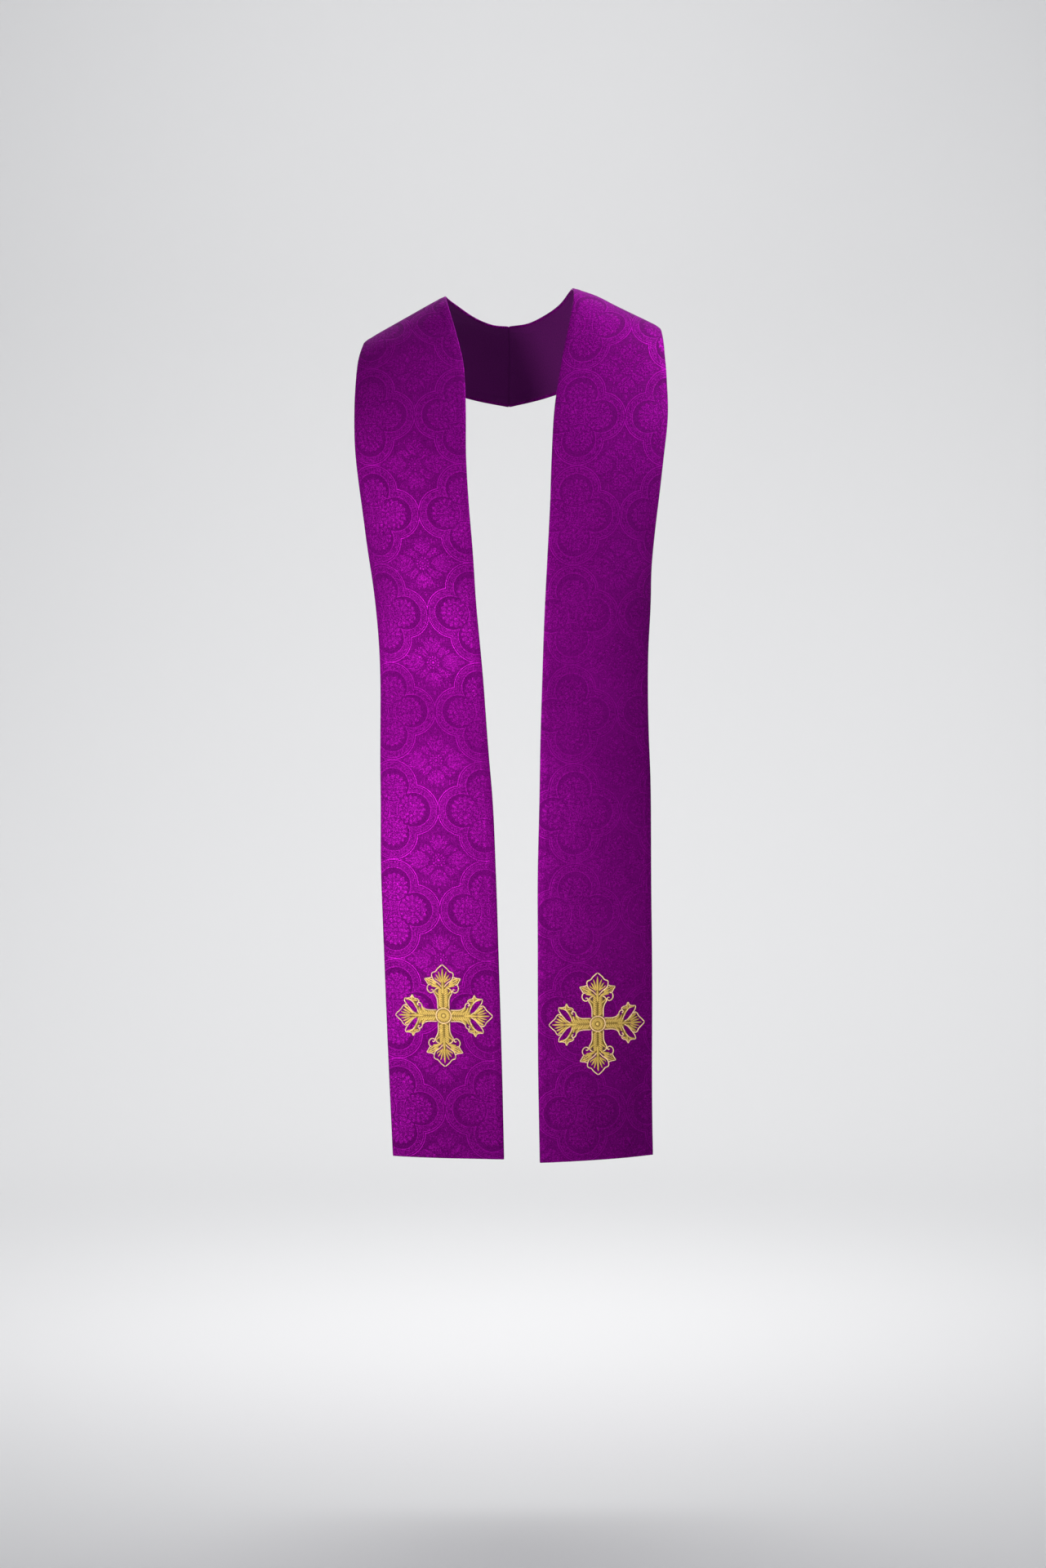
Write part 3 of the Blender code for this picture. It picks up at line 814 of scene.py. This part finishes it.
THREADS = [
    stitched_thread("pale_gold_cord", PALE_GOLD_IN_PAINTED_SHADE, PALE_GOLD, 0.45),
    stitched_thread("gold_leaf_stitch", GOLD_IN_PAINTED_SHADE, GOLD, 0.5),
    # The ground stitch: its darker gold partly stands in as painted shade between the raised strokes.
    stitched_thread("gold_ground_stitch_gap_shaded", GAP_SHADED_GOLD_IN_PAINTED_SHADE, GAP_SHADED_GOLD, 0.5),
    stitched_thread("purple_accent_stitch", PURPLE_THREAD_IN_PAINTED_SHADE, PURPLE_THREAD, 0.5),
]
CORD, LEAF, GROUND_STITCH, PURPLE = range(4)
# A stroke is drawn along an arm (first number) and out from its middle line (second), in millimetres. Its
# top rises above its base, and its taper says how its width changes from end to end.
Stroke = namedtuple("Stroke", "thread half_width rise base taper points")
OUTER_CORD = (CORD, 0.7, 0.9, 0.2, "cord")
INNER_CORD = (CORD, 0.64, 0.85, 0.2, "cord")
STROKE_STEP, STROKE_SECTION, STROKE_LEAST = 0.9, 6, 8
STROKE_FOOT, STROKE_CROWDING, DOME_ROUNDNESS = 0.3, 0.08, 0.8
LEAF_ROUNDNESS, LEAF_FULLNESS, CORD_END_SHARE = 0.55, 2.14, 14
CHEVRON_PITCH = 2.7


def chevrons(start, end, spread, reach):
    """The small leaves along one side of a stem's spine."""
    count = round((end - start) / CHEVRON_PITCH)
    leaves = []
    for index in range(count):
        at = start + (end - start) * index / count
        points = [(at, 0.4), (at + reach * 0.5, spread * 0.6), (at + reach, spread)]
        leaves.append(Stroke(LEAF, 1.12, 0.5, 0.5, "leaf", points))
    return leaves


UPRIGHT = [
    Stroke(*OUTER_CORD, [
        (8, 7), (14, 6.9), (20, 7.3), (25, 9.2),
        (27.6, 10.8), (30.6, 10.2), (33, 8), (33.8, 5),
    ]),
    Stroke(*OUTER_CORD, [
        (38, 17), (36, 18.6), (33.2, 19.2), (29.8, 17.8), (28, 14.8),
        (28.8, 12.4), (31, 12), (32, 13.8), (30.8, 14.8),
    ]),
    Stroke(GROUND_STITCH, 2.6, 0.2, 0.35, "cord", [(14, 4.2), (21, 4.8), (26, 6.2), (30, 7.2), (34, 5)]),
    Stroke(LEAF, 1.0, 0.5, 0.5, "leaf", [(24, 3.2), (27, 7), (30.4, 10.6)]),
    Stroke(LEAF, 1.5, 0.7, 0.3, "leaf", [(34, 3), (36, 8), (36.4, 14.5)]),
    Stroke(PURPLE, 0.7, 0.25, 0.65, "leaf", [(27.4, 6.6), (30.4, 7.4), (32.2, 5)]),
    Stroke(GROUND_STITCH, 2.7, 0.25, 0.3, "leaf", [(33, 3.5), (39.5, 12.5), (44.6, 21)]),
    Stroke(*INNER_CORD, [(47.4, 12.4), (46.2, 16), (45.2, 22.2)]),
    Stroke(*INNER_CORD, [(45.2, 22.2), (41.4, 19.6), (38.4, 17.8), (37.4, 14.6)]),
    Stroke(LEAF, 1.4, 0.6, 0.5, "leaf", [(36, 6.5), (41, 13), (44.4, 20)]),
    Stroke(LEAF, 1.35, 0.6, 0.5, "leaf", [(39, 7.5), (43.4, 13), (45.4, 18)]),
    Stroke(LEAF, 1.25, 0.6, 0.5, "leaf", [(36, 9), (39, 14.4), (41.6, 18.4)]),
    Stroke(PURPLE, 0.55, 0.25, 0.9, "leaf", [(40.6, 10.6), (42.6, 13.8), (44, 17)]),
    Stroke(PURPLE, 0.55, 0.25, 0.9, "leaf", [(38.4, 11.6), (40.2, 14.6), (42, 17)]),
    Stroke(*OUTER_CORD, [(35, 1.2), (40, 6), (44.2, 11.4), (48.4, 13), (50.6, 13.2)]),
    Stroke(*OUTER_CORD, [(49.4, 13.6), (52.4, 12.4), (54, 8.6), (57.4, 5.8), (60, 3), (62.4, 0)]),
    Stroke(LEAF, 1.05, 0.8, 0.2, "leaf", [(41, 0.8), (48.4, 3.2), (54.4, 5.2)]),
    Stroke(LEAF, 1.05, 0.8, 0.2, "leaf", [(40, 1.4), (46, 5), (50.4, 8.2)]),
    Stroke(LEAF, 0.9, 0.7, 0.2, "leaf", [(40, 2), (43.4, 5.6), (45.4, 9), (47.2, 9.4)]),
] + chevrons(9.6, 33, 6.0, 4.4)
UPRIGHT_MIDDLE = [
    Stroke(GROUND_STITCH, 6.7, 0.2, 0.35, "cord", [(4, 0), (18, 0), (33, 0)]),
    Stroke(GROUND_STITCH, 3.4, 0.25, 0.3, "leaf", [(24, 0), (33, 0), (42, 0)]),
    Stroke(LEAF, 1.35, 1.0, 0.3, "leaf", [(38, 0), (48, 0), (58, 0)]),
    Stroke(LEAF, 1.5, 0.8, 0.5, "leaf", [(26, 0), (34, 0), (42, 0)]),
]
LEVEL = [
    Stroke(*OUTER_CORD, [
        (8, 7), (14, 6.8), (19, 7), (22.6, 8), (26, 10.8),
        (27.2, 14), (29.4, 15.8), (31.8, 14.6), (31, 12.4), (29.4, 12.8),
    ]),
    Stroke(GROUND_STITCH, 2.7, 0.2, 0.35, "cord", [(12, 4.2), (20, 4.7), (25, 6.4), (28.6, 8.4)]),
    Stroke(LEAF, 1.1, 0.5, 0.5, "leaf", [(20, 4), (24.4, 7), (27.4, 11)]),
    Stroke(LEAF, 1.1, 0.6, 0.4, "leaf", [(26, 3), (29, 6.4), (30, 10.6)]),
    Stroke(GROUND_STITCH, 1.9, 0.25, 0.3, "leaf", [(28, 3), (33.6, 12), (38, 24)]),
    Stroke(GROUND_STITCH, 1.3, 0.25, 0.3, "leaf", [(31.6, 18.6), (39, 19), (47, 20)]),
    Stroke(*INNER_CORD, [(31.6, 15.6), (29.8, 17.8), (31.6, 19.8), (35.4, 21), (38.2, 25.6)]),
    Stroke(*INNER_CORD, [(38.2, 25.6), (40.2, 21.8), (43.6, 20.8), (48, 20.8)]),
    Stroke(*INNER_CORD, [(48, 20.8), (47.6, 17.4), (45.4, 13.6), (41.6, 8.8), (37.6, 4.4), (33, 1.6)]),
    Stroke(*INNER_CORD, [(30.2, 3.6), (33, 9), (36, 14.2), (39.6, 18), (43.4, 19.4)]),
    Stroke(LEAF, 1.0, 0.6, 0.5, "leaf", [(32, 8), (34.6, 12.6), (36.8, 16.4)]),
    Stroke(LEAF, 2.1, 0.6, 0.45, "leaf", [(36.6, 15.6), (38, 19.4), (38.2, 24.2)]),
    Stroke(LEAF, 1.25, 0.6, 0.45, "leaf", [(38.2, 17.4), (41.6, 19.4), (46.6, 20)]),
    Stroke(LEAF, 1.15, 0.6, 0.45, "leaf", [(31.2, 17.4), (33.6, 18.4), (37, 18.6)]),
    Stroke(PURPLE, 0.45, 0.25, 1.0, "leaf", [(37.6, 17.6), (38.1, 19.4), (38.2, 21.6)]),
    Stroke(*OUTER_CORD, [(44.6, 11), (47.6, 12.6), (50.2, 11), (52, 7.8), (55, 5), (57.6, 2.6), (60, 0)]),
    Stroke(GROUND_STITCH, 2.2, 0.25, 0.3, "leaf", [(34, 1.5), (41, 5), (46.4, 9.4)]),
    Stroke(LEAF, 1.7, 0.7, 0.5, "leaf", [(37, 2.2), (43, 7.2), (48.6, 11)]),
    Stroke(LEAF, 1.1, 0.7, 0.5, "leaf", [(40.6, 2.2), (45.6, 5.2), (50.6, 7.4)]),
    Stroke(LEAF, 0.95, 0.8, 0.4, "leaf", [(41.6, 1.2), (47.4, 2.9), (53, 4.2)]),
    Stroke(PURPLE, 0.6, 0.25, 0.6, "leaf", [(42.4, 4.4), (46, 7), (48.4, 8.6)]),
] + chevrons(9.6, 31, 6.0, 4.4)
LEVEL_MIDDLE = [
    Stroke(GROUND_STITCH, 6.7, 0.2, 0.35, "cord", [(4, 0), (16, 0), (29, 0)]),
    Stroke(GROUND_STITCH, 3.6, 0.25, 0.3, "leaf", [(20, 0), (30, 0), (41, 0)]),
    Stroke(LEAF, 1.25, 1.0, 0.3, "leaf", [(36, 0), (46, 0), (56, 0)]),
    Stroke(LEAF, 1.5, 0.8, 0.5, "leaf", [(24, 0), (32, 0), (40, 0)]),
]
ROSETTE_RADIUS, ROSETTE_RIDGES, RIM_POINTS = 9.2, 22, 33


def rosette_strokes():
    """The middle of the cross: a round ground, a rim, a boss and a ring of ridges."""
    ways = [(math.cos(turn), math.sin(turn)) for turn in np.linspace(0, 2 * math.pi, RIM_POINTS)]
    strokes = [
        Stroke(GROUND_STITCH, 8.8, 0.3, 0.75, "round", [(-8.8, 0), (0, 0), (8.8, 0)]),
        Stroke(CORD, 0.75, 0.9, 0.6, "ring", [(ROSETTE_RADIUS * x, ROSETTE_RADIUS * y) for x, y in ways]),
        Stroke(LEAF, 2.4, 0.8, 0.9, "round", [(-2.4, 0), (0, 0), (2.4, 0)]),
    ]
    for turn in np.linspace(0, 2 * math.pi, ROSETTE_RIDGES, endpoint=False):
        points = [(reach * math.cos(turn), reach * math.sin(turn)) for reach in (2.6, 5.4, 8.3)]
        strokes.append(Stroke(LEAF, 0.95, 0.5, 0.9, "leaf", points))
    return strokes


def stroke_taper(kind, share):
    """A stroke's width along it, as a share of its widest."""
    if kind == "ring":
        return np.ones_like(share)
    if kind == "leaf":
        return np.maximum(share * (1 - share), 0) ** LEAF_ROUNDNESS * LEAF_FULLNESS
    if kind == "round":
        return np.sqrt(np.maximum(1 - (2 * share - 1) ** 2, 0))
    return np.sqrt(np.clip(np.minimum(share, 1 - share) * CORD_END_SHARE, 0, 1))


def stroke_mesh(stroke):
    """A stroke's flat places and heights in millimetres, its stitch places and its faces."""
    path = np.array(stroke.points, float)
    knots = np.concatenate([[0], np.cumsum(np.linalg.norm(np.diff(path, axis=0), axis=-1))])
    count = max(STROKE_LEAST, round(knots[-1] / STROKE_STEP))
    share = np.linspace(0, 1, count + 1)
    if stroke.taper != "ring":
        share = share - STROKE_CROWDING * np.sin(2 * math.pi * share)
    line = smooth_curve(knots, path)(share * knots[-1])
    way = unit(np.gradient(line, axis=0))
    out = np.stack([-way[:, 1], way[:, 0]], axis=-1)
    width = stroke_taper(stroke.taper, share) * stroke.half_width
    turns = np.linspace(0, math.pi, STROKE_SECTION + 1)
    over = np.concatenate([-np.cos(turns), [1, -1]])
    dome = np.concatenate([np.sin(turns) ** DOME_ROUNDNESS, [0, 0]])
    foot = np.concatenate([np.zeros(STROKE_SECTION + 1), [STROKE_FOOT, STROKE_FOOT]])
    flat = line[:, None] + out[:, None] * (width[:, None] * over)[..., None]
    full = np.clip(width / stroke.half_width, 0, 1)[:, None]
    height = stroke.base * np.sqrt(full) + stroke.rise * full * dome - foot
    stitch = np.stack(np.broadcast_arrays(share[:, None] * knots[-1], width[:, None] * over), axis=-1)
    return flat.reshape(-1, 2), height.ravel(), stitch.reshape(-1, 2), round_faces(count + 1, len(over))


def cross_strokes():
    """Every stroke of the cross, with the quarter turns and the mirror that it is drawn with."""
    drawn = [(stroke, 0, 1) for stroke in rosette_strokes()]
    for quarter, (pairs, middle) in enumerate([(LEVEL, LEVEL_MIDDLE), (UPRIGHT, UPRIGHT_MIDDLE)] * 2):
        for mirror in (1, -1):
            drawn += [(stroke, quarter, mirror) for stroke in pairs]
        drawn += [(stroke, quarter, 1) for stroke in middle]
    return drawn


def build_cross(name, half, up, inward):
    """The strokes laid on a half's face, with their middle up from its hem and in from its inner edge."""
    flats, heights, stitches, faces, threads = [], [], [], [], []
    start = 0
    for stroke, quarter, mirror in cross_strokes():
        flat, height, stitch, quads = stroke_mesh(stroke)
        cosine, sine = math.cos(quarter * math.pi / 2), math.sin(quarter * math.pi / 2)
        flats.append(flat * [1, mirror] @ np.array([[cosine, sine], [-sine, cosine]]))
        heights.append(height)
        stitches.append(stitch)
        faces.append(quads + start)
        threads += [stroke.thread] * len(quads)
        start += len(flat)
    flat, height = np.concatenate(flats) * MM, np.concatenate(heights) * MM
    down = half.length - up - flat[:, 1]
    across = (inward + half.side * flat[:, 0]) / np.interp(down, half.down, half.width)
    points = half.above(down, across, WALL / 2 - CROSS_SINK + height)
    stitch_places = np.concatenate(stitches) * MM
    quads = np.concatenate(faces).tolist()
    return make_piece(name, points, quads, THREADS, threads, "stitch", stitch_places, STITCH_JOIN)


for name, half in (("left", left), ("right", right)):
    embroidery = build_cross(name + "_cross_embroidery", half, CROSS_UP[name], CROSS_IN[name])
    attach(embroidery, "root")
    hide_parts(name + "_cross")
